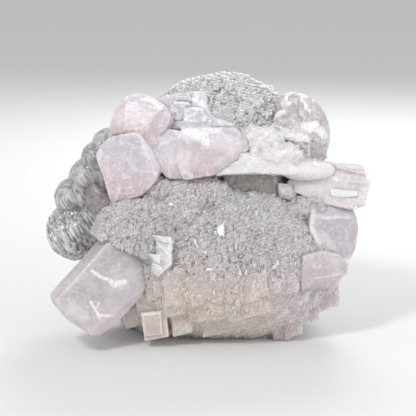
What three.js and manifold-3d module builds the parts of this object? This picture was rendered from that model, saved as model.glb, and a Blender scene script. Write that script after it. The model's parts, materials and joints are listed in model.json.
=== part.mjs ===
// A hand-sized cluster of pale pink calcite crystals, grown into one another as one solid.
//
// Units are millimetres. +Z is up, -Y is the front, and the origin is at the middle of the
// bounding box's underside, on the flat face where the cluster was cut from its rock.
//
// Calcite cleaves and grows on a rhombohedron, so everything small on it runs parallel: each
// crystal has one set of three edge directions, and its steps and ledges are all blocks of it.

import * as THREE from "three";
import { mergeVertices } from "three/addons/utils/BufferGeometryUtils.js";
import Module from "manifold-3d";

const wasm = await Module();
wasm.setup();

// ---------------------------------------------------------------- driving dimensions

const COLOUR = 0xdccfd6; // milky pink
const ROUGHNESS = 0.42;
const RISE = 2; // from one growth level to the next
const CORE_DEPTH = 2; // from a stepped crystal's surface to its solid core
const SLACK = 0.02; // by which a block misses its growth level
const MERGE = 0.08; // levels closer than this are one face
const CROWN_ROUNDS = 2; // steps in which a smooth face rolls over
const EDGE_TO_AXIS = THREE.MathUtils.degToRad(63.7); // a rhombohedron's edge from its long axis

// ---------------------------------------------------------------- shared shapes

const vec = (x, y, z) => new THREE.Vector3(x, y, z);
const degrees = THREE.MathUtils.degToRad;
const GOLDEN_TURN = Math.PI * (3 - Math.sqrt(5)); // turn by turn, spreads points evenly

let seed = 20231;
// An even random number from low to high, the same in each run.
function between(low, high) {
  seed = (seed * 16807) % 2147483647;
  return low + ((high - low) * seed) / 2147483647;
}

// A closed three.js geometry as a manifold-3d solid.
function asSolid(geometry) {
  const bare = geometry.clone();
  bare.deleteAttribute("normal");
  bare.deleteAttribute("uv");
  const merged = mergeVertices(bare, 1e-4);
  return new wasm.Manifold(
    new wasm.Mesh({
      numProp: 3,
      vertProperties: new Float32Array(merged.attributes.position.array),
      triVerts: new Uint32Array(merged.index.array),
    }),
  );
}

function asGeometry(solid) {
  const mesh = solid.getMesh();
  const geometry = new THREE.BufferGeometry();
  geometry.setAttribute("position", new THREE.BufferAttribute(mesh.vertProperties, 3));
  geometry.setIndex(new THREE.BufferAttribute(mesh.triVerts, 1));
  const flat = geometry.toNonIndexed();
  flat.computeVertexNormals();
  return flat;
}

// The three edge directions of a crystal whose long axis is axis. The first edge is the one
// that lies nearest the direction near.
function rhombEdges(axis, near) {
  const along = axis.clone().normalize();
  const side = near.clone().projectOnPlane(along).normalize();
  return [0, 120, 240].map((turn) => {
    const round = side.clone().applyAxisAngle(along, degrees(turn));
    return round.multiplyScalar(Math.sin(EDGE_TO_AXIS)).addScaledVector(along, Math.cos(EDGE_TO_AXIS));
  });
}

// One rhombohedral block with edges of the given lengths, centred at a point.
function block(edges, at, lengths) {
  const [a, b, c] = edges.map((edge, i) => edge.clone().multiplyScalar(lengths[i]));
  const place = new THREE.Matrix4().makeBasis(a, b, c).setPosition(at);
  return asSolid(new THREE.BoxGeometry(1, 1, 1).applyMatrix4(place));
}

// A rounded mass of parallel growth, the form that its steps are built up on.
function boss(at, radii, detail = 3) {
  const place = new THREE.Matrix4().makeScale(...radii).setPosition(at);
  return asSolid(new THREE.IcosahedronGeometry(1, detail).applyMatrix4(place));
}

// A tabular crystal: a flat outline in its own plane, with thickness behind its face and a
// crown where the face rolls over into the sides. The face looks along facing. Each facet cuts
// it off at a point, along an outward direction, both in the face's own plane.
function tablet(outline, { at, facing, thick, crown, facets = [] }) {
  const shape = new THREE.Shape(outline.map(([x, y]) => new THREE.Vector2(x, y)));
  const geometry = new THREE.ExtrudeGeometry(shape, {
    depth: thick - 2 * crown,
    bevelThickness: crown,
    bevelSize: crown,
    bevelOffset: -crown,
    bevelSegments: CROWN_ROUNDS,
  });
  geometry.translate(0, 0, crown - thick);
  const front = facing.clone().normalize();
  const right = vec(0, 0, 1).cross(front).normalize();
  const place = new THREE.Matrix4().makeBasis(right, front.clone().cross(right), front).setPosition(at);
  const whole = asSolid(geometry.applyMatrix4(place));
  return facets.reduce((solid, [point, outward]) => {
    const inward = vec(...outward).transformDirection(place).negate();
    return solid.trimByPlane(inward.toArray(), inward.dot(vec(...point).applyMatrix4(place)));
  }, whole);
}

// Terraces over an ellipsoid: parallel blocks spread evenly over it, wherever
// chosen(point, outward) allows one. Their faces keep to growth levels one RISE apart, so that
// neighbouring blocks share ledges.
function terraces(at, radii, edges, { count, size, chosen }) {
  const lattice = new THREE.Matrix4().makeBasis(...edges);
  const inverse = lattice.clone().invert();
  const level = (length) => Math.round(length / RISE) * RISE;
  const made = [];
  for (let i = 0; i < count; i += 1) {
    const height = 1 - (2 * i + 1) / count;
    const ring = Math.sqrt(1 - height * height);
    const unit = vec(ring * Math.cos(i * GOLDEN_TURN), ring * Math.sin(i * GOLDEN_TURN), height);
    const outward = unit.clone().divide(vec(...radii)).normalize();
    const point = unit.multiply(vec(...radii)).add(at);
    if (!chosen(point, outward)) continue;
    const edge = between(...size);
    const lengths = edges.map(() => level(edge * between(0.7, 1.4)));
    const reach = edges.reduce((sum, e, k) => sum + (lengths[k] * Math.abs(e.dot(outward))) / 2, 0);
    const half = vec(...lengths).divideScalar(2);
    const low = point.addScaledVector(outward, -reach).applyMatrix4(inverse).sub(half);
    const start = low.toArray().map((value) => level(value) + between(-SLACK, SLACK));
    const centre = vec(...start).add(half).applyMatrix4(lattice);
    made.push(block(edges, centre, lengths));
  }
  return made;
}

// A crystal of parallel growth: a rounded core under a full cover of terraces.
function stepped(at, radii, edges, cover) {
  const core = boss(at, radii.map((radius) => radius - CORE_DEPTH), 2);
  return [core, ...terraces(at, radii, edges, cover)];
}

const pieces = [];

// ---------------------------------------------------------------- front crystal
// The largest crystal, a stepped lens that faces the front and stands on the cut base.

const FRONT_AT = vec(4.5, -5, 25.5);
const FRONT_RADII = [44, 24, 27.5];
const FRONT_EDGES = rhombEdges(vec(-0.61, -0.72, 0.33), vec(-0.1, -0.1, 1));
// The lower right of the lens is missing beyond a line that climbs to the right.
const TRIM_SLOPE = 0.95;
const TRIM_DROP = 22.5;
const FOOT_AT = vec(-4, 4, 10);
const FOOT_RADII = [30, 22, 16];
const CORNER_AT = vec(-17, -19, 10);
const CORNER_EDGES = [11, 9, 12];

pieces.push(
  ...stepped(FRONT_AT, FRONT_RADII, FRONT_EDGES, {
    count: 400,
    size: [7, 11],
    chosen: (point, outward) =>
      outward.y < 0.2 && point.z > -CORE_DEPTH && TRIM_SLOPE * point.x - point.z < TRIM_DROP,
  }),
  // The broad foot that the cut leaves.
  boss(FOOT_AT, FOOT_RADII, 2),
  // The corner block that stands out at the foot.
  block(FRONT_EDGES, CORNER_AT, CORNER_EDGES),
);

// ---------------------------------------------------------------- right end of the front crystal
// Two smooth faces where the lens ends.

const RIGHT_FACE = [
  [-8, 10.2], [-9.3, 4.7], [-7.3, -2], [-3.2, -9.7], [3.4, -11.3], [6.8, -5.9], [8.1, 0.7], [7.1, 4.5],
  [5.4, 8.6],
];
const LOWER_RIGHT_FACE = [
  [-4, 8.4], [-8.1, 5.2], [-9.1, -2.8], [-3.1, -8.6], [5.8, -6.9], [7.2, -1.3], [8.8, 2.5], [1.7, 7.6],
];
pieces.push(
  tablet(RIGHT_FACE, {
    at: vec(42.9, -15, 37.4),
    facing: vec(0.35, -0.93, 0.1),
    thick: 18,
    crown: 1.4,
    facets: [[[0, 4.4, 0], [0.05, 0.35, 1]]],
  }),
  tablet(LOWER_RIGHT_FACE, {
    at: vec(37.7, -17, 23.3),
    facing: vec(0.3, -0.95, -0.1),
    thick: 18,
    crown: 1.4,
    facets: [[[0, 1, 0], [0, -0.3, 1]], [[-4, 0, 0], [-0.4, 0, 1]]],
  }),
);

// ---------------------------------------------------------------- prism crystal
// A blocky crystal that points down to the front left, with its stepped root behind.

const PRISM_FACE = [
  [3.1, 15], [-4.6, 7.5], [-12.5, 0.1], [-14.3, -2], [-13.4, -4.6], [-8.8, -10.6], [-3.4, -14.7],
  [-0.4, -15], [4.4, -12.5], [9.7, -7.8], [13.9, -3.5], [17, 2.8], [17.2, 7.7], [10.8, 15.4],
];
const PRISM_ROOT = [
  { at: vec(-23, -18.5, 37.5), radii: [14.5, 9, 13] },
  { at: vec(-31, -17, 34), radii: [9, 9, 10] },
  { at: vec(-11, -14.5, 42), radii: [14, 9, 9] },
  { at: vec(-6, -12, 48), radii: [15, 8.5, 8.5] },
];
pieces.push(
  tablet(PRISM_FACE, {
    at: vec(-34.8, -29, 21.4),
    facing: vec(0.32, -0.93, 0.12),
    thick: 12,
    crown: 1,
    facets: [[[-9.5, -8, 0], [-0.5, -0.55, 0.9]], [[9, -5, 0], [0.3, -0.45, 1]]],
  }),
);
for (const { at, radii } of PRISM_ROOT) {
  pieces.push(
    ...stepped(at, radii, FRONT_EDGES, {
      count: 46,
      size: [4, 7],
      chosen: (point, outward) => outward.y < 0.3,
    }),
  );
}

// ---------------------------------------------------------------- upper left nailheads
// Rounded tabular crystals that overlap like scales.

const LOW_NAILHEAD = [
  [-5.8, 9.4], [-9, 6.3], [-10.2, 3], [-9, -0.3], [-7.1, -4.1], [-4.7, -12.2], [-1.7, -12.5], [5.5, -10],
  [9.9, -5.3], [11.3, -0.7], [8.3, 5.8], [3.8, 11.2],
];
const HIGH_NAILHEAD = [
  [-9, 2.2], [-10, -2.3], [-10.4, -6.3], [-0.6, -5.7], [3.3, -8], [8.3, -4.5], [10.3, -0.1], [8.8, 3.4],
  [4.6, 6.2], [-0.2, 8], [-4.4, 7.6], [-7.6, 5],
];
const SMALL_NAILHEAD = [
  [-6.3, 2.3], [-3.5, -4.4], [0.1, -7.8], [6.5, -7.8], [6, 1.9], [3.6, 8], [-0.5, 8.5], [-4.1, 7],
];
pieces.push(
  tablet(LOW_NAILHEAD, {
    at: vec(-27, -17, 60.2),
    facing: vec(-0.15, -0.93, 0.28),
    thick: 18,
    crown: 1.4,
    facets: [
      [[0, -2.2, 0], [0, -0.22, 1]],
      [[6.5, 4.5, 0], [0.5, 0.35, 1]],
      [[-2, 7.5, 0], [-0.1, 0.5, 1]],
    ],
  }),
  tablet(HIGH_NAILHEAD, {
    at: vec(-22.3, -11, 75.4),
    facing: vec(-0.15, -0.9, 0.38),
    thick: 18,
    crown: 1.4,
    facets: [
      [[0, 3.5, 0], [0.05, 0.45, 1]],
      [[-5, 0, 0], [-0.35, 0, 1]],
      [[3, -2, 0], [0.3, -0.2, 1]],
    ],
  }),
  tablet(SMALL_NAILHEAD, {
    at: vec(-13.1, -15, 63.2),
    facing: vec(-0.25, -0.93, 0.2),
    thick: 16,
    crown: 1.2,
    facets: [[[0, 4, 0], [-0.1, 0.3, 1]]],
  }),
  // What closes the corner where the three meet.
  boss(vec(-18.8, -10.2, 67.3), [4, 4, 4], 1),
);

// ---------------------------------------------------------------- brow
// The long smooth crystal that hangs over the slot above the front crystal, and the smooth wall
// at the back of the slot.

const BROW_FACE = [
  [-11.3, 6.3], [-11.8, -2.5], [-9.6, -9.1], [1.5, -7.2], [7.8, -2.7], [12.8, 1.5], [11.5, 4.5],
  [8.3, 8.2], [-9, 8.3],
];
const BROW_RIM = [
  [-14.1, -3.1], [-8.5, -2.5], [1.3, -2.3], [13.1, -3.1], [14.8, -1.4], [11.2, 1.5], [5.6, 4.2],
  [-1.9, 3.9], [-8.5, 1.1],
];
const SLOT_WALL = [
  [-10, 4], [-10, -3], [-6, -4], [3, -4.5], [8, -4], [10, -3], [10, 4],
];
pieces.push(
  tablet(BROW_FACE, {
    at: vec(1.3, -16, 64.3),
    facing: vec(0.05, -0.93, 0.3),
    thick: 18,
    crown: 1.2,
    facets: [
      [[-9.5, 0, 0], [-0.5, 0, 1]],
      [[9, 4, 0], [0.45, 0.3, 1]],
      [[0, -4, 0], [0.1, -0.25, 1]],
    ],
  }),
  tablet(BROW_RIM, { at: vec(16.3, -15, 59.5), facing: vec(0.05, -0.96, 0.22), thick: 18, crown: 1 }),
  tablet(SLOT_WALL, { at: vec(15, -10.2, 52.8), facing: vec(0, -1, 0.1), thick: 8, crown: 0.5 }),
);

// ---------------------------------------------------------------- right-hand block
// A cleaved block that juts out to the right.

const JUT_FACE = [
  [-15.8, 0.8], [-13.2, -2.2], [-6, -5.6], [0, -7.2], [5.6, -8.3], [9.9, -7], [10.6, -3.4],
  [11.9, 0.3], [10.6, 2.6], [9.3, 6.5], [0, 7.9], [-7.5, 8.3], [-9.9, 6.6], [-12.5, 4.4],
];
pieces.push(
  tablet(JUT_FACE, {
    at: vec(41.8, -13, 52.8),
    facing: vec(0.03, -0.97, 0.2),
    thick: 22,
    crown: 0.8,
    facets: [
      [[-7, 0, 0], [-0.35, -0.1, 1]],
      [[0, 3.5, 0], [0, 0.5, 1]],
      [[0, -4.6, 0], [0.1, -0.4, 1]],
    ],
  }),
);

// ---------------------------------------------------------------- back crystal
// The domed crystal at the top and back, stepped all over.

const BACK_AT = vec(4, 13, 60.5);
const BACK_RADII = [30, 22, 27];
const BACK_EDGES = rhombEdges(vec(-0.3, -0.5, 0.8), vec(-0.95, 0.1, 0.1));
const SHOULDER_AT = vec(29, 9, 66);
const SHOULDER_RADII = [13.2, 13, 15];
pieces.push(
  ...stepped(BACK_AT, BACK_RADII, BACK_EDGES, {
    count: 260,
    size: [7, 11],
    chosen: (point, outward) => outward.z > -0.4,
  }),
  ...stepped(SHOULDER_AT, SHOULDER_RADII, BACK_EDGES, {
    count: 70,
    size: [4, 7],
    chosen: (point, outward) => outward.x > -0.5,
  }),
);

// ---------------------------------------------------------------- grey crystals
// A row of clear grey lobes stepping down the left side.

const GREY_EDGES = rhombEdges(vec(-0.8, -0.35, 0.45), vec(0.5, -0.3, -0.8));
const GREY_LOBES = [
  { at: vec(-32.5, 6, 60.5), radii: [7.5, 9, 7.5] },
  { at: vec(-36.5, 6, 54.5), radii: [7.5, 10, 7.5] },
  { at: vec(-40.5, 5, 49), radii: [8, 10, 8] },
  { at: vec(-44.5, 4, 41.5), radii: [9, 11, 8] },
  { at: vec(-44.5, 3, 34), radii: [10.5, 14, 10.5] },
];
for (const { at, radii } of GREY_LOBES) {
  pieces.push(
    ...stepped(at, radii, GREY_EDGES, {
      count: 44,
      size: [4, 6],
      chosen: (point, outward) => outward.x < 0.3,
    }),
  );
}

// ---------------------------------------------------------------- rear and inner crystals
// Coarser stepped crystals behind, down to the cut base, and the one that ties the right-hand
// block to the back crystal.

const REAR_CRYSTALS = [
  { at: vec(4, 14, 22), radii: [35, 22, 30] },
  { at: vec(-25, 12, 42), radii: [18, 17, 22] },
  { at: vec(29, 6, 47), radii: [14, 15, 15] },
];
for (const { at, radii } of REAR_CRYSTALS) {
  pieces.push(
    ...stepped(at, radii, BACK_EDGES, {
      count: 90,
      size: [10, 15],
      chosen: (point, outward) => outward.y > -0.4 && point.z > -CORE_DEPTH,
    }),
  );
}

// ---------------------------------------------------------------- fused cluster
// All crystals in one solid, with the open slot under the brow, cut off flat at the bottom.

const SLOT_AT = vec(15, -20, 53);
const SLOT_RADII = [12, 9.8, 3.6];
const fused = wasm.Manifold.union(pieces).subtract(boss(SLOT_AT, SLOT_RADII, 2)).asOriginal().simplify(MERGE);
const grown = fused.trimByPlane([0, 0, 1], 0).asOriginal().simplify(SLACK);
// The outer skin of the largest body alone: closed pockets between blocks are grown solid.
const [sound] = grown.decompose().sort((a, b) => b.volume() - a.volume());
const box = sound.boundingBox();
const middle = [0, 1].map((i) => (box.min[i] + box.max[i]) / 2);
const cluster = new THREE.Mesh(
  asGeometry(sound.translate([-middle[0], -middle[1], 0])),
  new THREE.MeshStandardMaterial({ color: COLOUR, roughness: ROUGHNESS, metalness: 0, flatShading: true }),
);
cluster.name = "calcite_cluster";

const specimen = new THREE.Group();
specimen.add(cluster);
export default specimen;
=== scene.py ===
import json
import math
import random

import bmesh
import bpy
from mathutils import Matrix, Quaternion, Vector, noise
from mathutils.geometry import intersect_point_line

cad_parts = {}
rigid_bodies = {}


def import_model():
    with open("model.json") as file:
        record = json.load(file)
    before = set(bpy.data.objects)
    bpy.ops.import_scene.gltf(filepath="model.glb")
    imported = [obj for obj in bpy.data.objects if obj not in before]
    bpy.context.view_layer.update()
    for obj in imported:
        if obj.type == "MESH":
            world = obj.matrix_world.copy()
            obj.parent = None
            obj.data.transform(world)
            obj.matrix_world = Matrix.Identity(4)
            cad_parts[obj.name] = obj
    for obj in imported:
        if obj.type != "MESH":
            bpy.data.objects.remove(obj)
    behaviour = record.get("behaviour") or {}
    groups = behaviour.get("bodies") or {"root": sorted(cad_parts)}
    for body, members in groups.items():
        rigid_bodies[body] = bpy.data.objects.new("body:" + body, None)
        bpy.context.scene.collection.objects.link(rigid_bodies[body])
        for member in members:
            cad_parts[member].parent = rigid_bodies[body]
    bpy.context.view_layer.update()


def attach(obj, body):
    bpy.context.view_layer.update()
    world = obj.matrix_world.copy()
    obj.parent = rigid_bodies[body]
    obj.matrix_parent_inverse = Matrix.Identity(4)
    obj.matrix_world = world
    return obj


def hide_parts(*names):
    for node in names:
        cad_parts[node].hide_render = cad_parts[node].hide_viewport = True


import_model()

# ---------------------------------------------------------------- front crystal
# The largest crystal is a lens of parallel growth. Calcite grows on a rhombohedron, so its skin
# is thousands of small blocks that share three edge directions: fine and grey above, coarse,
# low and warm beige towards the foot, where the cluster was cut off its rock.

MM = 0.001
EDGE_TO_AXIS = math.radians(63.7)  # a rhombohedron's edge from its long axis
GOLDEN_TURN = math.pi * (3 - math.sqrt(5))
SHIFT = Vector((0.94, -2.02, 0)) * MM  # from the crystals' own frame to the part's
SKIN_GRAIN = 0.5
SAW = (200, 200, 50)  # the reach of the cut under the foot
dice = random.Random(7)


def rhomb_edges(axis, near):
    """A crystal's three edge directions, the first as near as it can be to one given."""
    along = Vector(axis).normalized()
    near = Vector(near)
    side = (near - near.project(along)).normalized()
    lean = along * math.cos(EDGE_TO_AXIS)
    return [Quaternion(along, math.radians(turn)) @ side * math.sin(EDGE_TO_AXIS) + lean
            for turn in (0, 120, 240)]


def block(edges, centre, lengths, lean=0):
    """The mesh of one cleavage block, in metres, off its crystal's own angle by up to lean."""
    bm = bmesh.new()
    bmesh.ops.create_cube(bm, size=1)
    columns = [edge * length for edge, length in zip(edges, lengths)]
    place = Matrix((columns[0], columns[1], columns[2])).transposed()
    for axis in "XYZ":
        place = Matrix.Rotation(math.radians(dice.uniform(-lean, lean)), 3, axis) @ place
    place = place.to_4x4()
    place.translation = centre
    bmesh.ops.transform(bm, matrix=Matrix.Scale(MM, 4) @ place, verts=bm.verts)
    mesh = bpy.data.meshes.new("block")
    bm.to_mesh(mesh)
    bm.free()
    return mesh


def shear(bm, point, outward):
    """Cut off what lies outward of a point, and close the cut."""
    cut = bmesh.ops.bisect_plane(bm, geom=bm.verts[:] + bm.edges[:] + bm.faces[:], plane_co=point,
                                 plane_no=outward, clear_outer=True)
    bmesh.ops.holes_fill(bm, edges=[e for e in cut["geom_cut"] if isinstance(e, bmesh.types.BMEdge)])


def boss(at, radii, detail=4, trims=()):
    """The mesh of a rounded core, trimmed off at each point, outward along a direction."""
    bm = bmesh.new()
    bmesh.ops.create_icosphere(bm, subdivisions=detail, radius=1)
    place = Matrix.Translation(Vector(at)) @ Matrix.Diagonal((*radii, 1))
    bmesh.ops.transform(bm, matrix=place, verts=bm.verts)
    for point, outward in trims:
        shear(bm, point, outward)
    bmesh.ops.transform(bm, matrix=Matrix.Scale(MM, 4), verts=bm.verts)
    mesh = bpy.data.meshes.new("core")
    bm.to_mesh(mesh)
    bm.free()
    return mesh


def spread(at, radii, spacing):
    """Points and outward directions scattered evenly over an ellipsoid."""
    a, b, c = (r ** 1.6 for r in radii)
    area = 4 * math.pi * ((a * b + a * c + b * c) / 3) ** (1 / 1.6)
    count = int(area / spacing ** 2)
    wander = 0.4 * spacing / min(radii)
    for i in range(count):
        height = 1 - (2 * i + 1) / count
        ring = math.sqrt(1 - height * height)
        unit = Vector((ring * math.cos(i * GOLDEN_TURN), ring * math.sin(i * GOLDEN_TURN), height))
        unit = (unit + Vector([dice.gauss(0, wander) for _ in radii])).normalized()
        outward = Vector([u / r for u, r in zip(unit, radii)]).normalized()
        yield Vector(at) + Vector([u * r for u, r in zip(unit, radii)]), outward


def terraces(at, radii, edges, spacing, size, proud, rise, chosen, stretch=(1, 1, 1), lean=0):
    """Blocks spread over an ellipsoid, with their faces on growth levels one rise apart."""
    lattice = Matrix(edges).transposed()
    inverse = lattice.inverted()
    made = []
    for point, outward in spread(at, radii, spacing):
        if not chosen(point, outward):
            continue
        edge = dice.triangular(*size, size[0])
        lengths = [max(rise, round(edge * s * dice.uniform(0.6, 1.5) / rise) * rise) for s in stretch]
        reach = sum(length * abs(e.dot(outward)) / 2 for length, e in zip(lengths, edges))
        half = Vector(lengths) / 2
        low = inverse @ (point + outward * (dice.uniform(*proud) - reach)) - half
        start = Vector([round(v / rise) * rise + dice.uniform(-0.01, 0.01) for v in low])
        made.append(block(edges, lattice @ (start + half), lengths, lean))
    return made


def fuse(name, cores, blocks, cuts=()):
    """One closed crystal of its cores and blocks, sawn off flat at the foot."""
    scene = bpy.context.scene.collection
    grown = bpy.data.objects.new(name, cores[0])
    scene.objects.link(grown)
    base = bmesh.new()
    bmesh.ops.create_cube(base, size=1)
    saw = Matrix.Translation((0, 0, -SAW[2] / 2 * MM)) @ Matrix.Diagonal((*[side * MM for side in SAW], 1))
    bmesh.ops.transform(base, matrix=saw, verts=base.verts)
    under = bpy.data.meshes.new("under")
    base.to_mesh(under)
    base.free()
    for label, operation, meshes in (("grow", "UNION", list(cores[1:]) + list(blocks)),
                                     ("cut", "DIFFERENCE", [under] + list(cuts))):
        if not meshes:
            continue
        heap = bpy.data.collections.new(label)
        scene.children.link(heap)
        for mesh in meshes:
            heap.objects.link(bpy.data.objects.new(label, mesh))
        join = grown.modifiers.new(label, "BOOLEAN")
        join.operation = operation
        join.operand_type = "COLLECTION"
        join.collection = heap
        join.solver = "MANIFOLD"
    depsgraph = bpy.context.evaluated_depsgraph_get()
    mesh = bpy.data.meshes.new_from_object(grown.evaluated_get(depsgraph))
    mesh.name = name
    mesh.transform(Matrix.Translation(SHIFT))
    mesh.materials.clear()
    grown.modifiers.clear()
    grown.data = mesh
    for label in ("grow", "cut"):
        heap = bpy.data.collections.get(label)
        if heap:
            for spare in list(heap.objects):
                bpy.data.objects.remove(spare)
            bpy.data.collections.remove(heap)
    return grown


def reskin(piece, mode, size):
    """Remesh a piece in cells of the given size: rounded VOXEL, crisp SHARP or stepped BLOCKS."""
    skin = piece.modifiers.new("skin", "REMESH")
    skin.mode = mode
    if mode == "VOXEL":
        skin.voxel_size = size
    else:
        spans = [max(v.co[i] for v in piece.data.vertices) - min(v.co[i] for v in piece.data.vertices)
                 for i in range(3)]
        skin.octree_depth = math.ceil(math.log2(max(spans) / size / 0.99))
        skin.scale = max(spans) / size / 2 ** skin.octree_depth
        skin.use_remove_disconnected = True
    depsgraph = bpy.context.evaluated_depsgraph_get()
    mesh = bpy.data.meshes.new_from_object(piece.evaluated_get(depsgraph))
    piece.modifiers.clear()
    piece.data = mesh
    mesh.materials.clear()
    return mesh


def grow(name, cores, blocks, edges, step, relief, cuts=(), wobble=0.05):
    """A stepped crystal: its masses and blocks, roughened by relief, cut to one growth step.

    The skin is squared off on the crystal's own lattice, so all its steps run parallel. Its
    "rim" attribute is how far each point stands out on an edge.
    """
    piece = fuse(name, cores, blocks, cuts)
    bm = bmesh.new()
    bm.from_mesh(reskin(piece, "VOXEL", SKIN_GRAIN * MM))
    bm.normal_update()
    for vert in bm.verts:
        vert.co += vert.normal * relief((vert.co - SHIFT) / MM) * MM
    lattice = Matrix(edges).transposed().to_4x4()
    bmesh.ops.transform(bm, matrix=lattice.inverted(), verts=bm.verts)
    bm.to_mesh(piece.data)
    bm.free()
    bm = bmesh.new()
    bm.from_mesh(reskin(piece, "BLOCKS", step * MM))
    bmesh.ops.transform(bm, matrix=lattice, verts=bm.verts)
    for vert in bm.verts:
        vert.co += Vector([dice.uniform(-wobble, wobble) * MM for _ in range(3)])
    shear(bm, (0, 0, 0), (0, 0, -1))
    bm.normal_update()
    rim = bm.verts.layers.float.new("rim")
    for vert in bm.verts:
        fall = sum((edge.other_vert(vert).co - vert.co).normalized().dot(vert.normal)
                   for edge in vert.link_edges)
        vert[rim] = min(1, max(0, -0.9 * fall / len(vert.link_edges)))
    bm.to_mesh(piece.data)
    bm.free()
    return piece


def settle(piece, material):
    """Every crystal rides on the one body and stands for the one solid."""
    piece.data.materials.append(material)
    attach(piece, "root")
    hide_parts("calcite_cluster")


CALCITE_IOR = 1.6
CLOUD_WHITE = (0.93, 0.92, 0.93)
FROST_AND_HIGHLIGHT_WHITE = (1.0, 0.99, 1.0)


class Shader:
    """A Principled material that is wired up one node at a time."""

    def __init__(self, name):
        self.material = bpy.data.materials.new(name)
        self.material.use_nodes = True
        self.nodes, self.links = self.material.node_tree.nodes, self.material.node_tree.links
        self.out = self.nodes["Principled BSDF"].inputs
        self.where = self.nodes.new("ShaderNodeTexCoord").outputs["Object"]

    def put(self, socket, value):
        if isinstance(value, bpy.types.NodeSocket):
            self.links.new(value, socket)
        elif isinstance(value, tuple) and len(value) == 3 and socket.type == "RGBA":
            socket.default_value = (*value, 1)
        else:
            socket.default_value = value

    def node(self, kind, output, **inputs):
        made = self.nodes.new("ShaderNode" + kind)
        for name, value in inputs.items():
            self.put(made.inputs[name.replace("_", " ")], value)
        return made.outputs[output]

    def noise(self, size, detail=3, rough=0.55, where=None):
        return self.node("TexNoise", "Fac", Vector=where or self.where, Scale=1 / (size * MM),
                         Detail=detail, Roughness=rough)

    def ramp(self, value, low, high, to=(0, 1)):
        made = self.nodes.new("ShaderNodeMapRange")
        made.interpolation_type = "SMOOTHSTEP"
        for name, setting in (("Value", value), ("From Min", low), ("From Max", high),
                              ("To Min", to[0]), ("To Max", to[1])):
            self.put(made.inputs[name], setting)
        return made.outputs[0]

    def mix(self, factor, a, b):
        made = self.nodes.new("ShaderNodeMix")
        made.data_type = "RGBA"
        for index, value in ((0, factor), (6, a), (7, b)):
            self.put(made.inputs[index], value)
        return made.outputs["Result"]

    def math(self, operation, a, b):
        made = self.nodes.new("ShaderNodeMath")
        made.operation = operation
        self.put(made.inputs[0], a)
        self.put(made.inputs[1], b)
        return made.outputs[0]

    def bump(self, height, depth, strength=1.0, after=None):
        made = self.nodes.new("ShaderNodeBump")
        self.put(made.inputs["Height"], height)
        self.put(made.inputs["Distance"], depth * MM)
        self.put(made.inputs["Strength"], strength)
        if after:
            self.put(made.inputs["Normal"], after)
        return made.outputs["Normal"]

    def lattice(self, edges, stretch=3):
        """Object coordinates turned onto a crystal's directions and drawn out along its first."""
        turned = self.node("Mapping", 0, Vector=self.where)
        turn = edges[0].rotation_difference(Vector((1, 0, 0))).to_euler()
        turned.node.inputs["Rotation"].default_value = turn
        return self.node("Mapping", 0, Vector=turned, Scale=(1 / stretch, 1, 1))

    def height(self, axis="Z"):
        split = self.nodes.new("ShaderNodeSeparateXYZ")
        self.put(split.inputs[0], self.where)
        return split.outputs[axis]

    def glass(self, clear, glow, glow_size):
        """Calcite's own optics: its refraction, how clear it is and how far light sinks in."""
        self.put(self.out["IOR"], CALCITE_IOR)
        self.put(self.out["Transmission Weight"], clear)
        self.put(self.out["Subsurface Weight"], glow)
        self.put(self.out["Subsurface Radius"], (1.0, 0.85, 0.9))
        self.put(self.out["Subsurface Scale"], glow_size)


def stepped_calcite(name, low, high, side, edges, white=0.35, clear=0.05):
    """Frosted stepped calcite: low colour at the foot, high above, side to the right; painted glints."""
    s = Shader(name)
    drift = s.math("MULTIPLY_ADD", s.noise(14, 4, 0.6), 20 * MM)
    s.put(drift.node.inputs[2], s.height())
    climb = s.ramp(drift, 22 * MM, 46 * MM)
    across = s.ramp(s.height("X"), 14 * MM, 42 * MM)
    tone = s.mix(across, s.mix(climb, low, high), side)
    tone = s.mix(s.ramp(s.noise(5, 5, 0.7), 0.45, 0.72, (0, white)), tone, CLOUD_WHITE)
    grit = s.node("TexVoronoi", "Distance", Vector=s.where, Scale=1 / (0.5 * MM), Randomness=1.0)
    # The sparse white flecks along the lattice are painted glints, light off tiny facets.
    glint_fleck = s.noise(0.42, 2, 0.5, s.lattice(edges, 2))
    glint_spread = s.ramp(s.noise(4, 3), 0.4, 0.65, (0.35, 1))
    tone = s.mix(s.math("MULTIPLY", s.ramp(glint_fleck, 0.56, 0.61), glint_spread), tone, FROST_AND_HIGHLIGHT_WHITE)
    rim = s.node("Attribute", "Fac")
    rim.node.attribute_name = "rim"
    lit_edges = s.math("MULTIPLY", s.ramp(rim, 0.15, 0.6), s.ramp(climb, 0, 1, (0.55, 0.2)))
    tone = s.mix(lit_edges, tone, (1.0, 0.98, 0.98))
    s.put(s.out["Base Color"], tone)
    s.put(s.out["Roughness"], s.ramp(s.noise(1.3, 2), 0.4, 0.6, (0.08, 0.34)))
    s.put(s.out["Normal"], s.bump(grit, 0.22, 0.8))
    s.glass(clear, 0.9, s.ramp(drift, 16 * MM, 44 * MM, (6 * MM, 3.5 * MM)))
    return s.material


def cells(edges, sizes):
    """The way from a point to the growth cell that it lies in."""
    return Matrix([e * s for e, s in zip(edges, sizes)]).transposed().inverted()


FRONT_AT = (4.5, -5, 25.5)
FRONT_RADII = (44, 24, 27.5)
FRONT_EDGES = rhomb_edges((-0.61, -0.72, 0.33), (-0.1, -0.1, 1))
GRAINS, BRICKS = cells(FRONT_EDGES, (2, 1.2, 1.5)), cells(FRONT_EDGES, (4.4, 4, 3.4))
# The prism crystal's root is part of the same growth, and ends along a line across its head.
ROOT_END = ((-25.6, -24, 33), (-0.41, -0.15, -0.9))
ROOT = [((-23, -18.5, 37.5), (14.2, 8.7, 12.7)), ((-31, -17, 34), (8.6, 8.6, 9.6)),
        ((-11, -14.5, 42), (13.7, 8.7, 8.7)), ((-6, -12, 48), (14.7, 8.2, 8.2)),
        ((33, -10.5, 45), (9, 7, 4.2)), ((-16, -13.5, 51.5), (7, 6, 4))]
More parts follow.
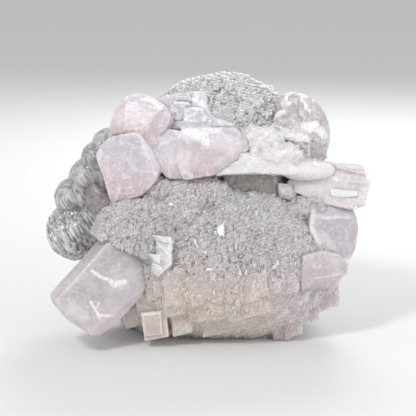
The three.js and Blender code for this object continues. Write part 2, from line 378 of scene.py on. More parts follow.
# The lower right of the lens is missing beyond a line that climbs to the right.
TRIM = ((23.7, 0, 0), (0.95, 0, -1))


def past_trim(point):
    """How far a point lies beyond the line where the lens breaks off."""
    return (point - Vector(TRIM[0])).dot(Vector(TRIM[1]))


def on_front(point, outward):
    """Whether blocks grow here: on the front, above the cut and not where the lens is missing."""
    return outward.y < 0.25 and point.z > -2 and past_trim(point) <= 0


def front_relief(point):
    """Sugary above, and in low flat bricks towards the foot."""
    aside = max(0, point.x - 12) * 0.35 + max(0, -8 - point.x) * 0.5
    above = min(1, max(0, (point.z - 16 - aside + 8 * noise.noise(point / 9)) / 12))
    grains = noise.cell(GRAINS @ point) * 0.45 + noise.noise(point / 0.9) * 0.15
    bricks = noise.cell(BRICKS @ point) * 0.35
    return (noise.noise(point / 8) * 0.8 + grains + bricks) * above


frosted = stepped_calcite("frosted calcite", (0.67, 0.55, 0.47), (0.55, 0.51, 0.51), (0.61, 0.53, 0.57),
                          FRONT_EDGES)
slabs = terraces(FRONT_AT, FRONT_RADII, FRONT_EDGES, 4, (5, 11), (-0.7, 0.4), 0.8,
                 lambda p, o: on_front(p, o) and p.z < 25)
slabs += terraces(FRONT_AT, FRONT_RADII, FRONT_EDGES, 6.5, (9, 12), (-0.8, 0.3), 2.4,
                  lambda p, o: on_front(p, o) and p.z < 28 and past_trim(p) > -9)
foot = terraces((-4, 4, 10), (30, 22, 16), FRONT_EDGES, 4, (5, 8), (-0.5, 0.3), 0.8,
                lambda p, o: p.x < 0 and o.y < 0.3 and p.z > -2)
# The lens breaks off at the lower right in a few big steps: each one's lower right corner and size.
STAIRS = [((42.5, -8, 13.8), (8, 8, 14)), ((42.5, -5, 11.2), (4, 8, 8)), ((35.8, -8, 9.6), (7, 8, 16)),
          ((29.8, -8, 5.2), (6, 6, 18)), ((26.2, -8, 2.6), (5, 6, 16))]
for corner, lengths in STAIRS:
    inward = FRONT_EDGES[0] * lengths[0] / 2 + FRONT_EDGES[1] * lengths[1] / 2
    slabs.append(block(FRONT_EDGES, Vector(corner) + inward, lengths))
# At the lower left it ends in broad blocks beside the prism crystal: each one's middle and size.
BROAD_BLOCKS = [((-21, -16.6, 17.5), (9, 9, 12)), ((-12.5, -19.6, 17), (8, 7, 12)),
                ((-10, -17.4, 9.8), (8, 7, 12)), ((-25, -13.4, 11.2), (7, 8, 12)),
                ((-15, -20.6, 23), (5, 8, 11))]
slabs += [block(FRONT_EDGES, at, lengths) for at, lengths in BROAD_BLOCKS]
SLOT = boss((15, -20, 53), (12, 9.8, 3.6), 3)
core = boss(FRONT_AT, (43.2, 23.2, 26.7), trims=[((21, 0, 0), TRIM[1])])
front = grow("front_crystal", [core, boss((-4, 4, 10), (29, 21, 15))]
             + [boss(at, radii, trims=[ROOT_END]) for at, radii in ROOT],
             slabs + foot, FRONT_EDGES, 0.66, front_relief, cuts=[SLOT])
settle(front, frosted)

# ---------------------------------------------------------------- right end of the front crystal
# Where the lens ends, its growth has healed into two smooth pink faces. They are satin, with a
# crease across, and clear enough for light to sink in.


def soften(outline, *cuts):
    """An outline with its corners cut back, once for each cut, by that share of a side."""
    for share in cuts:
        outline = [(a[0] + (b[0] - a[0]) * part, a[1] + (b[1] - a[1]) * part)
                   for a, b in zip(outline, outline[1:] + outline[:1]) for part in (share, 1 - share)]
    return outline


def tablet(outline, at, facing, thick, crown, facets=()):
    """The mesh of a tabular crystal whose face looks along facing, with facets cut off it."""
    bm = bmesh.new()
    rim = [bm.verts.new((x, y, 0)) for x, y in outline]
    face = bm.faces.new(rim)
    grown = bmesh.ops.extrude_face_region(bm, geom=[face])
    back = [v for v in grown["geom"] if isinstance(v, bmesh.types.BMVert)]
    bmesh.ops.translate(bm, vec=(0, 0, -thick), verts=back)
    bmesh.ops.recalc_face_normals(bm, faces=bm.faces)
    bmesh.ops.bevel(bm, geom=[e for e in bm.edges if abs(e.calc_face_angle()) > 1.2],
                    offset=crown, segments=3, profile=0.5, material=-1, affect="EDGES",
                    clamp_overlap=True)
    for point, outward in facets:
        shear(bm, point, outward)
    bmesh.ops.transform(bm, matrix=Matrix.Scale(MM, 4) @ on_face(at, facing), verts=bm.verts)
    mesh = bpy.data.meshes.new("tablet")
    bm.to_mesh(mesh)
    bm.free()
    return mesh


def on_face(at, facing):
    """The placement of a face: x to its right, y up it, z out of it."""
    front = Vector(facing).normalized()
    right = Vector((0, 0, 1)).cross(front).normalized()
    place = Matrix((right, front.cross(right), front)).transposed().to_4x4()
    place.translation = Vector(at)
    return place


def polish(name, crystals, cores=(), ripple=0.1, ripple_size=5, grain=0.36, rounds=1):
    """Smooth crystals grown into one closed skin, crisp along their edges, with faint ripples.

    Each crystal is an outline, its place, facing, thickness and crown, the facets cut off it and
    the marks on it: healed cracks, frosted edges and a few painted highlights, each a line, its width
    and its strength. The tint runs from 0 at the foot of a crystal's face to 1 at its head.
    """
    piece = fuse(name, [tablet(*crystal[:6]) for crystal in crystals], cores)
    skin = reskin(piece, "SHARP", grain * MM)
    faces, lines = [], []
    for outline, at, facing, thick, crown, facets, marks in crystals:
        place = Matrix.Translation(SHIFT) @ Matrix.Scale(MM, 4) @ on_face(at, facing)
        faces.append((place.inverted(), [y for x, y in outline]))
        lines += [([place @ Vector((x, y, 0)) for x, y in line], width * MM, strength)
                  for line, width, strength in marks]
    bm = bmesh.new()
    bm.from_mesh(skin)
    for _ in range(rounds):
        bmesh.ops.smooth_vert(bm, verts=bm.verts, factor=0.5, use_axis_x=True, use_axis_y=True,
                              use_axis_z=True)
    bm.normal_update()
    veil_and_highlight, tint = bm.verts.layers.float.new("veil_and_highlight"), bm.verts.layers.float.new("tint")
    for vert in bm.verts:
        spots = [(upright @ vert.co, heights) for upright, heights in faces]
        spot, heights = min(spots, key=lambda found: found[0].length + 10 * max(0, found[0].z))
        vert[tint] = (spot.y - min(heights)) / (max(heights) - min(heights))
        for line, width, strength in lines:
            for a, b in zip(line, line[1:]):
                beside, along = intersect_point_line(vert.co, a, b)
                nearest = a if along < 0 else b if along > 1 else beside
                fade = 1 - (vert.co - nearest).length / width
                if fade > 0:
                    vert[veil_and_highlight] = max(vert[veil_and_highlight], strength * min(1, fade * 1.6))
        vert.co += vert.normal * noise.fractal(vert.co / (ripple_size * MM), 0.8, 2.0, 3) * ripple * MM
    for face in bm.faces:
        face.smooth = True
    bm.to_mesh(skin)
    bm.free()
    return piece


FOOT_BROWN = (0.56, 0.43, 0.41)


def satin_calcite(name, pale, pink, grey, clear=0.06, frosting=0.5, scratched=0.25, foot=0):
    """Milky pink calcite, pinker at the foot: wisps and veils inside, frost and painted highlights outside.
    """
    s = Shader(name)
    tint = s.node("Attribute", "Fac")
    tint.node.attribute_name = "tint"
    cloud = s.math("MULTIPLY_ADD", s.math("SUBTRACT", s.noise(8, 3), 0.5), 2.2)
    s.put(cloud.node.inputs[2], tint)
    tone = s.mix(s.ramp(cloud, 0.1, 0.9), pink, grey)
    tone = s.mix(s.ramp(tint, 0.4, 0.02, (0, foot)), tone, FOOT_BROWN)
    wisps = s.noise(6, 5, 0.6)
    wisps.node.inputs["Distortion"].default_value = 1.4
    tone = s.mix(s.ramp(wisps, 0.47, 0.68, (0, 0.75)), tone, pale)
    scratches = s.noise(1, 4, 0.65)
    scratches.node.inputs["Distortion"].default_value = 0.8
    tone = s.mix(s.ramp(scratches, 0.5, 0.62, (0, scratched)), tone, (0.96, 0.95, 0.96))
    fine = s.noise(0.7, 3, 0.6)
    patches = s.ramp(s.noise(5, 3), 0.45, 0.62, (0.08, frosting))
    crust = s.math("MULTIPLY", s.ramp(fine, 0.5, 0.68), patches)
    veil_and_highlight = s.node("Attribute", "Fac")
    veil_and_highlight.node.attribute_name = "veil_and_highlight"
    frost_and_highlight = s.math("MAXIMUM", crust, s.math("MULTIPLY", veil_and_highlight, s.ramp(fine, 0.36, 0.56, (0.35, 1))))
    tone = s.mix(frost_and_highlight, tone, FROST_AND_HIGHLIGHT_WHITE)
    s.put(s.out["Base Color"], tone)
    s.put(s.out["Roughness"], s.ramp(s.noise(3, 3, 0.6), 0.35, 0.65, (0.26, 0.5)))
    s.put(s.out["Normal"], s.bump(s.noise(2.2, 2), 0.14, 0.4))
    s.glass(s.math("MULTIPLY", s.math("SUBTRACT", 1.0, frost_and_highlight), clear), 0.9, 5 * MM)
    return s.material


lilac = satin_calcite("lilac calcite", (0.66, 0.62, 0.67), (0.56, 0.50, 0.54), (0.52, 0.48, 0.52),
                      frosting=0.25)
RIGHT_FACE = [(-9.3, 11.2), (5.2, 9.3), (7, 5.2), (8, 1.4), (6.6, -5.2), (3, -10.5), (-2.6, -8.9),
              (-7.3, -4.5), (-10.4, 1.8)]
LOWER_RIGHT_FACE = [(-8.6, 6.9), (-5.3, 7.6), (-0.8, 7.8), (5.1, 6.1), (8.2, 2.2), (8.1, -0.7), (6.1, -1.4),
                    (5.2, -4.7), (3.6, -8), (-3.3, -8), (-8.4, -7.7), (-9.3, -0.3)]
right_end = polish("right_end", [
    (RIGHT_FACE, (43.2, -15.5, 36.8), (0.36, -0.92, 0.1), 14, 0.5,
     [((0, 5.4, 0), (0.05, 0.35, 1)), ((4, 0, 0), (0.3, 0, 1))],
     [([(-10.4, 1.8), (-7.3, -4.5), (-2.6, -8.9), (3, -10.5)], 2.6, 0.9),
      ([(-8, 6), (6.6, 5.2)], 0.6, 0.4), ([(-9.3, 10), (-10.4, 1.8)], 2, 0.6),
      ([(-6, 0), (-3, -4)], 2.4, 0.4)]),
], ripple=0.14, ripple_size=3)
settle(right_end, lilac)
lower_right = polish("lower_right_end", [
    (LOWER_RIGHT_FACE, (39.2, -20.9, 24.3), (0.42, -0.9, -0.05), 14, 0.3,
     [((0, -0.8, 0), (0.05, -0.42, 1)), ((5, 0, 0), (0.3, 0, 1)), ((0, 2.5, 0), (0, 0.25, 1)),
      ((-4, 0, 0), (-0.2, 0, 1))],
     [([(-5.3, -0.6), (5.9, -0.4)], 0.35, 0.6), ([(5.4, 6), (8.2, 2.2), (8.1, -0.7)], 0.8, 0.8),
      ([(-4, -5), (3, -6.5)], 0.5, 0.3)]),
], ripple=0.16, ripple_size=2.5)
settle(lower_right, satin_calcite("beige pink calcite", (0.68, 0.62, 0.63), (0.61, 0.52, 0.53),
                                  (0.59, 0.52, 0.54), frosting=0.3))

# ---------------------------------------------------------------- prism crystal
# A blocky crystal that points down to the front left. It is the smoothest of all, with a narrow
# side face, a bevelled end and healed cracks inside, and it grows out of a stepped root.

PRISM_FACE = [(3.1, 15), (-4.6, 7.5), (-12.5, 0.1), (-14.3, -2), (-13.4, -4.6), (-8.8, -10.6),
              (-3.4, -14.7), (-0.4, -15), (4.4, -12.5), (9.7, -7.8), (13.9, -3.5), (17, 2.8),
              (17.2, 7.7), (10.8, 15.4)]
# Two healed cracks: a long one that forks at its right end, and a short one with three arms.
UPPER_CRACK = [([(-2.4, 6.4), (0.5, 4.2), (3.1, 3.0), (4.7, 2.1), (8.4, 2.0)], 0.7, 1),
               ([(3.1, 3), (5, 1), (8.4, 2)], 1.1, 0.8), ([(5.2, 1.6), (8.2, 2.2)], 0.9, 1)]
LOWER_CRACK = [([(-3.2, -3.6), (-2, -6.3), (-0.6, -8.8)], 0.6, 1), ([(-0.8, -8.1), (4.2, -8.9)], 0.45, 0.9),
               ([(-2, -6.3), (-0.6, -4.2)], 0.5, 0.8)]
prism = polish("prism_crystal", [
    (PRISM_FACE, (-34.8, -29, 21.4), (0.32, -0.93, 0.12), 12, 0.6,
     [((-9.5, -8, 0), (-0.5, -0.55, 0.9)), ((9, -5, 0), (0.3, -0.45, 1))],
     UPPER_CRACK + LOWER_CRACK + [([(-9, -5), (-6, -8)], 2.5, 0.35)]),
], ripple=0.07)
# Its darker grey clouds gather towards the head of its face: its own tone, and painted shade there.
settle(prism, satin_calcite("clear pink calcite", (0.69, 0.66, 0.69), (0.67, 0.59, 0.61),
                            (0.52, 0.49, 0.51), scratched=0.15))

# ---------------------------------------------------------------- rim of the prism's root
# The stepped root that the prism grows out of ends at the right in flaky lilac plates with a
# crisp edge, and at the left in one smooth facet. All of them are cleavage faces of the root.

RIGHT_PLATE = [(-2.2, 5.6), (3, 4.6), (3.2, -2.9), (-0.4, -6.5), (-1.7, -7.3), (-2.9, -5.8), (-2.2, -3),
               (-3.4, -1), (-1.6, 1.2)]
FLAKES = [([(-3.8, 1.2), (2.4, 0.8), (3.3, -1.2), (-1.9, -0.8)], (-14.5, -28.6, 38.1), (-0.25, -0.95, 0.15)),
          ([(-3.2, 1.8), (2.3, 1.4), (2.2, -1.7), (-1.3, -1.4)], (-13.7, -28.2, 35.4), (-0.1, -0.98, -0.05)),
          ([(-2.2, 1.6), (1.4, 1.1), (1.6, -1.7), (-0.8, -1.1)], (-17, -28.5, 31.7), (-0.2, -0.97, 0.1)),
          ([(-2, 2.5), (2.1, 2.2), (1.8, -0.7), (-0.1, -3.1), (-1.8, -0.9)],
           (-13.7, -28.2, 31), (-0.1, -0.98, 0)),
          ([(-1.7, 2.4), (1.1, 1.7), (2.1, -0.8), (0.2, -2.6), (-1.6, -0.7)],
           (-16.5, -28.4, 27.8), (-0.05, -0.97, -0.2))]
LEFT_FACET = [(-4.2, -5), (-4.8, -0.4), (-3.2, 3.2), (-0.3, 5.2), (2.8, 3), (3.8, -0.4), (0.8, -2.8),
              (-2.6, -5.4)]
root_rim = polish("root_rim", [
    (RIGHT_PLATE, (-15, -28, 32.5), (-0.22, -0.97, -0.06), 6, 0.3, [((0, 3, 0), (0, 0.25, 1))],
     [([(3.2, 5), (3, -2.9), (-0.4, -6.3), (-1.7, -7.3)], 1.1, 1), ([(-1.8, 5), (2.4, 0.6)], 0.6, 0.8),
      ([(-2.6, -0.6), (0.8, -4.6)], 0.7, 0.8), ([(-0.5, 1.4), (2.6, -1.4)], 0.5, 0.7)]),
    *[(outline, at, facing, 4, 0.15, [], [(outline[1:3], 0.9, 0.9), ([(-1, 0.8), (1.4, -0.6)], 1, 0.5)])
      for outline, at, facing in FLAKES],
    (soften(LEFT_FACET, 0.2), (-36.8, -24.6, 36.4), (-0.3, -0.92, 0.14), 7, 0.6,
     [((1, 0, 0), (0.35, 0.1, 1)), ((-2.5, 0, 0), (-0.45, 0, 1))], [([(-3, -4), (-2.5, 2)], 0.8, 0.4)]),
], ripple=0.2, ripple_size=1.6)
settle(root_rim, satin_calcite("flaky calcite", (0.76, 0.74, 0.77), (0.64, 0.58, 0.61), (0.58, 0.54, 0.57),
                               scratched=0.6))

# ---------------------------------------------------------------- corner block
# One clean cleavage block of the front crystal stands out at its foot, beige like the foot, with
# a lower step along its right side and underside. Its edges are frosted.

CORNER_AT = (-17.4, 7.7)
CORNER_STEP = [(-4.7, 4.3), (-3.5, -5.3), (4.5, -3.6), (3.5, 5.6)]
CORNER_FACE = [(-4.3, 4.2), (-3.5, -3.5), (2.5, -2.7), (1.9, 4.9)]
corner = polish("corner_block", [
    (outline, (CORNER_AT[0], depth, CORNER_AT[1]), (-0.06, -0.99, -0.04), thick, 0.25, [],
     [(outline + outline[:1], 0.55, 0.6)])
    for outline, depth, thick in ((CORNER_STEP, -24, 12), (CORNER_FACE, -24.7, 4))
], ripple=0.05)
settle(corner, satin_calcite("beige calcite", (0.72, 0.66, 0.64), (0.65, 0.54, 0.50), (0.63, 0.53, 0.49),
                             frosting=0.2, scratched=0.1))

# ---------------------------------------------------------------- upper crystals
# Rounded tabular crystals that overlap like scales at the upper left, and a long one, frosted
# along its upper edge, whose lip hangs over the open slot. They are pale pink, satin, and grown
# into one another.

LOW_NAILHEAD = [(-5.8, 9.4), (-9, 6.3), (-10.2, 3), (-9, -0.3), (-7.1, -4.1), (-4.7, -12.2),
                (-1.7, -12.5), (5.5, -10), (9.9, -5.3), (11.3, -0.7), (8.3, 5.8), (3.8, 11.2)]
HIGH_NAILHEAD = [(-9, 2.2), (-10, -2.3), (-10.4, -6.3), (-0.6, -5.7), (3.3, -8), (8.3, -4.5),
                 (10.3, -0.1), (8.8, 3.4), (4.6, 6.2), (-0.2, 8), (-4.4, 7.6), (-7.6, 5)]
SMALL_NAILHEAD = [(-6.3, 2.3), (-3.5, -4.4), (0.1, -7.8), (6.5, -7.8), (6, 1.9), (3.6, 8), (-0.5, 8.5),
                  (-4.1, 7)]
BROW = [(-11.3, 6.3), (-11.8, -2.5), (-9.6, -9.1), (1.5, -7.2), (7.8, -2.7), (12.8, 1.5), (11.5, 4.5),
        (8.3, 8.2), (-9, 8.3)]
# The foot of the low one is drawn out in bands, each a little proud of the one above.
LOW_AT, LOW_FOOT = (-27, -17, 60.2), Vector((-27, -17.8, 57.7))
LOW_FOOT_FACING = Vector((-0.16, -0.98, 0.09))
LOW_BANDS = [tablet([(-7.4 - low / 5, low + 2.6), (-2, low + 1.3), (3.5, low + 1.7),
                     (8.6 + low / 5, low + 3.8), (5.3, -7.2), (-1.7, -9.7), (-4.6, -9.4)],
                    LOW_FOOT + LOW_FOOT_FACING * proud, LOW_FOOT_FACING, 4, 0.2)
             for low, proud in ((-2.6, 0.1), (-4.8, 0.25), (-6, 0.45), (-8, 0.7), (-9.2, 0.95))]
upper = polish("upper_crystals", [
    (soften(LOW_NAILHEAD, 0.12), LOW_AT, (-0.15, -0.93, 0.28), 18, 0.6,
     [((0, -2.6, 0), (0, -0.2, 1)), ((7, 4, 0), (0.4, 0.15, 1)), ((-5, 4, 0), (-0.25, 0.2, 1))],
     [([(-5.8, 9.2), (-1.5, 10), (3.8, 11)], 0.8, 0.5), ([(-8.5, 5), (-9.4, 1)], 1.2, 0.5),
      # The line down its ridge is a painted highlight.
      ([(3.8, 10.8), (6.2, 6), (9.2, 0), (10.4, -3)], 0.6, 0.4)]
     + [([(-7 - low / 5, low), (-2, low - 1.3), (3.5, low - 0.9), (8 + low / 5, low + 1)], 0.4, 0.15)
        for low in (-3, -4.8, -7.8)]),
    (soften(HIGH_NAILHEAD, 0.2, 0.22), (-22.3, -11, 75.4), (-0.15, -0.9, 0.38), 18, 1.8,
     [((0, 4, 0), (0.05, 0.25, 1)), ((-5, 0, 0), (-0.22, 0, 1)), ((4, -2, 0), (0.22, -0.15, 1)),
      ((-5, 0, -13), (-1, 0, -0.8)), ((0, 4, -12), (0, 1, -0.7))],
     [([(0.3, 6.2), (3.7, 5.4), (6.8, 3.4)], 1.2, 0.7), ([(-6, 0), (-2, 2), (2, 0)], 3, 0.3)]),
    (soften(SMALL_NAILHEAD, 0.12), (-13.1, -14.6, 63.2), (-0.2, -0.94, 0.22), 16, 0.4,
     [((0, 4, 0), (-0.1, 0.2, 1)), ((0, -4, 0), (0, -0.2, 1))],
     # The broad second mark is painted light over its face, which lies back in shade.
     [([(-6.2, 2.3), (-1.3, 7.4)], 1.2, 0.5), ([(-3, 1), (3, -3)], 7, 0.35)]),
    (soften(BROW, 0.1), (1.3, -16, 64.3), (0.05, -0.93, 0.3), 18, 0.4,
     [((-7.8, 0, 0), (-0.4, 0.05, 1)), ((8.6, 4, 0), (0.4, 0.25, 1)), ((0, -4.5, 0), (0.05, -0.2, 1)),
      ((-3, 5, 0), (-0.1, 0.2, 1))],
     [([(-7.6, 7.4), (-5.4, 6.2), (-2.9, 5.0), (-1.6, 3.7)], 2.6, 1), ([(-3, 6.6), (2, 7)], 1.8, 0.6),
      ([(1, 4), (7, 2)], 4, 0.45), ([(7.7, 7.6), (10, 4.5), (12.2, 1.6)], 0.9, 0.4)]),
], cores=[boss((-18.8, -10.2, 67.3), (4, 4, 4), 3)] + LOW_BANDS, ripple=0.1, rounds=2)
settle(upper, satin_calcite("pink calcite", (0.78, 0.75, 0.78), (0.66, 0.55, 0.58), (0.58, 0.53, 0.58),
                            foot=0.7))

# ---------------------------------------------------------------- slot wall
# The slot under the lip ends at the back in a smooth brown-grey face of the back crystal, with a
# small crystal of the same growth at its right end.

slot_wall = polish("slot_wall", [
    ([(-10, 4), (-10, -3), (-6, -4), (3, -4.5), (8, -4), (10, -3), (10, 4)],
     (15, -10.2, 52.8), (0, -1, 0.1), 8, 0.3,
     [((7.2, 0, 0), (0.6, 0, 1))], [([(7.2, -4), (7.2, 4)], 0.8, 0.4)]),
    ([(-2.2, 2.2), (-1.6, -3), (4, -3.4), (4.6, 1.6)], (25.2, -12.6, 51.2), (0.05, -0.98, 0.2), 6, 0.4,
     [((1.4, 0, 0), (0.3, 0, 1))],
     [([(-2, 1.8), (2.4, 1.4)], 1.2, 0.5), ([(0, 0), (3, -1)], 2.5, 0.4)]),
], ripple=0.4, ripple_size=1.6)
settle(slot_wall, satin_calcite("brown calcite", (0.56, 0.52, 0.50), (0.42, 0.38, 0.36), (0.36, 0.33, 0.31),
                                frosting=0.1))

# ---------------------------------------------------------------- right-hand block
# A cleaved block that juts out to the right. Its left end is a smooth pink facet, its top is
# flaky, its right end breaks off in layers, and two cleavage faces catch the light.

JUT = [(-15.8, 0.8), (-13.2, -2.2), (-6, -5.6), (0, -7.2), (5.6, -8.3), (9.9, -7), (10.6, -3.4),
       (11.9, 0.3), (10.6, 2.6), (9.3, 6.5), (0, 7.9), (-7.5, 8.3), (-9.9, 6.6), (-12.5, 4.4)]
JUT_AT, JUT_FACING = (41.8, -13, 52.8), (0.03, -0.97, 0.2)
FORWARD = Vector((0, -1, 0.2))  # the way in which layers and glints stand out
LAYERS = [([(-4, -6.2), (7.2, -8.1), (7.6, -4.6), (-3, -3.4)], 0.7),
          ([(7, -6.8), (10.2, -7), (10.9, -1.2), (8, -1)], 0.5),
          ([(-1, 1.2), (9.6, 0.2), (11.4, 0.6), (10.4, 2.8), (0, 4.2)], 0.5),
          ([(0, 7.6), (9.2, 6.6), (10.4, 3), (5, 4.4), (0.6, 5.6)], 0.9)]
jut = polish("right_block", [
    (JUT, JUT_AT, JUT_FACING, 22, 0.5,
     [((-8, 0, 0), (-0.3, 0.05, 1)), ((0, 4.5, 0), (0, 0.35, 1)), ((0, -4.8, 0), (0.05, -0.25, 1))],
     [([(-12.8, 5.6), (-9.6, 7), (-5.6, 7.6), (-1, 7)], 1.8, 0.9), ([(-6, 4.6), (-3.6, 2.6)], 1.4, 0.8),
      ([(-2.2, 3), (0.6, 1.6)], 1.2, 0.9), ([(2, 1.6), (3.4, 0.4)], 0.8, 0.7)]),
] + [(outline, Vector(JUT_AT) + FORWARD * proud, JUT_FACING, 8, 0.15, [], [])
     for outline, proud in LAYERS], grain=0.32)
settle(jut, satin_calcite("pale pink calcite", (0.84, 0.81, 0.83), (0.76, 0.67, 0.70), (0.70, 0.65, 0.68),
                          frosting=0.8, scratched=0.5))

# ---------------------------------------------------------------- back crystal
# The dome at the top and back is stepped growth like the front crystal, on its own lattice and
# coarser behind, and reaches down to the cut foot. It bulges in a shoulder at the right.

BACK_EDGES = rhomb_edges((-0.3, -0.5, 0.8), (-0.95, 0.1, 0.1))
BACK_AT, BACK_RADII = (4, 13, 60.5), (30, 22, 27)
REAR = [((4, 14, 22), (35, 22, 30)), ((-25, 12, 42), (18, 17, 22)), ((29, 6, 47), (14, 15, 15))]
CRUMBS, LEDGES = cells(BACK_EDGES, (2, 1.8, 1.8)), cells(BACK_EDGES, (7, 5, 4.5))


def back_relief(point):
    """Sugary on top, in bigger ledges lower down and behind."""
    above = min(1, max(0, (point.z - 66 + 6 * noise.noise(point / 9)) / 12))
    crumbs = noise.cell(CRUMBS @ point) * 0.7 + noise.noise(point / 1.1) * 0.3
    ledges = noise.cell(LEDGES @ point) * 0.9
    near = min(1, max(0.3, (15 - point.y) / 8))
    return (crumbs * (0.35 + 0.65 * above) + ledges * (1 - 0.4 * above)) * near + noise.noise(point / 7) * 0.8


crust = stepped_calcite("crusted calcite", (0.55, 0.50, 0.49), (0.57, 0.55, 0.57), (0.63, 0.55, 0.58),
                        BACK_EDGES, white=0.4)
ledges = terraces(BACK_AT, BACK_RADII, BACK_EDGES, 5, (5, 9), (-0.8, -0.2), 0.5,
                  lambda p, o: o.z > -0.4 and dice.random() < 0.5, stretch=(1.4, 1, 0.8))
for at, radii in REAR:
    ledges += terraces(at, radii, BACK_EDGES, 5.5, (6, 13), (-1, 0.3), 0.85,
                       lambda p, o: o.y > -0.4 and p.z > -3)
back = grow("back_crystal", [boss(BACK_AT, (29, 21, 26)), boss((29, 11, 65), (11, 11, 12.5))]
            + [boss(at, [r - 2 for r in radii]) for at, radii in REAR],
            ledges, BACK_EDGES, 0.85, back_relief, cuts=[SLOT])
settle(back, crust)

# ---------------------------------------------------------------- dome ledges
# At its lower left the dome has healed into smooth lilac calcite, in a few broad ledges one above
# another. Each is a tabular layer with a frosted upper edge, grown onto the dome.

dome_ledges = polish("dome_ledges", [
    ([(-14.2, 2.4), (-11.3, 4.4), (-2.1, 6.2), (2.2, 6.2), (4.2, 1.7), (7, -2.4), (15, -4.4), (15, -5.4),
      (-7.6, -7.3), (-11.4, -1.8)], (-4.5, -2.4, 76.8), (-0.35, -0.8, 0.48), 8, 0.3, [], []),
    ([(-5.4, 3.1), (4.6, 3.5), (6, 0.7), (3, -2.4), (-1.8, -3), (-6.5, -1.8)],
     (19.5, -3.5, 75.2), (0.2, -0.88, 0.42), 8, 0.3, [((0, 1.4, 0), (0.1, 0.3, 1))],
     [([(-5, 2.8), (4.4, 3.2)], 0.6, 0.7), ([(-3, -1), (3, 0)], 1.6, 0.5)]),
    ([(-6.3, -0.2), (-3.5, 1.6), (2.4, 1.7), (5.7, 1.8), (6.7, 0), (1.2, 0.1), (-0.5, -1.3), (-1.4, -2.6),
      (-4.4, -1.1)],
     (-11.4, 1.2, 79.2), (-0.35, -0.7, 0.5), 6, 0.2, [], [([(-3.4, 1.4), (5.6, 1.6)], 0.5, 0.6)]),
    ([(-4, 1.1), (-2.7, 3), (2.5, 2.9), (3.8, 1.8), (1.3, 1.1), (1.3, -3.6), (-3.3, -4.4)],
     (-9.2, -2.8, 76.2), (-0.3, -0.85, 0.35), 7, 0.3, [], [([(-2.6, 2.8), (2.4, 2.7)], 0.6, 0.7)]),
    ([(-4.9, 2.1), (-1.7, 2.4), (1.7, 2.2), (2.3, 0.8), (3.8, -1.4), (3.5, -3), (-4.7, -3.2)],
     (-3.5, -5.3, 75.4), (-0.15, -0.9, 0.4), 8, 0.3, [],
     [([(-1.8, 2.2), (1.6, 2.1)], 0.5, 1), ([(1.7, 2.1), (3.7, -1.3)], 0.5, 0.5)]),
    ([(-2.9, 1.1), (-2.5, 2.5), (-0.8, 2.7), (1.7, 2.5), (2.7, 0.2), (2.6, -2.6), (1.3, -3.3), (-2.1, -3)],
     (-2.8, -1.6, 80), (-0.2, -0.82, 0.5), 6, 0.25, [], [([(-2.4, 2.4), (1.6, 2.4)], 0.5, 0.4)]),
    ([(-10.4, 0.7), (-6, 1.4), (6.9, 1.1), (10.6, 0.5), (11.4, -0.3), (2.3, -1), (-5.1, -1.1), (-9.9, -1.4)],
     (-2.5, -7, 72), (-0.05, -0.75, 0.6), 6, 0.2, [], [([(-5.9, 1.2), (7, 1)], 0.45, 0.6)]),
    ([(-8, 0.9), (-3, 1.1), (6, 0.7), (8, -0.8), (-7.5, -0.9)],
     (-1.5, -8.2, 70.6), (-0.05, -0.7, 0.65), 5, 0.2, [], [([(-7, 0.7), (6, 0.5)], 0.4, 0.5)]),
], ripple=0.12, ripple_size=2)
settle(dome_ledges, satin_calcite("pale lilac calcite", (0.74, 0.73, 0.76), (0.66, 0.62, 0.66),
                                  (0.59, 0.57, 0.60), frosting=0.6, scratched=0.5))

# ---------------------------------------------------------------- shoulder
# Glassy pink cleavage faces at many angles rise to a peak at the right of the dome, two of them
# frosted white. They are broken faces of one crystal that is grown into the dome.

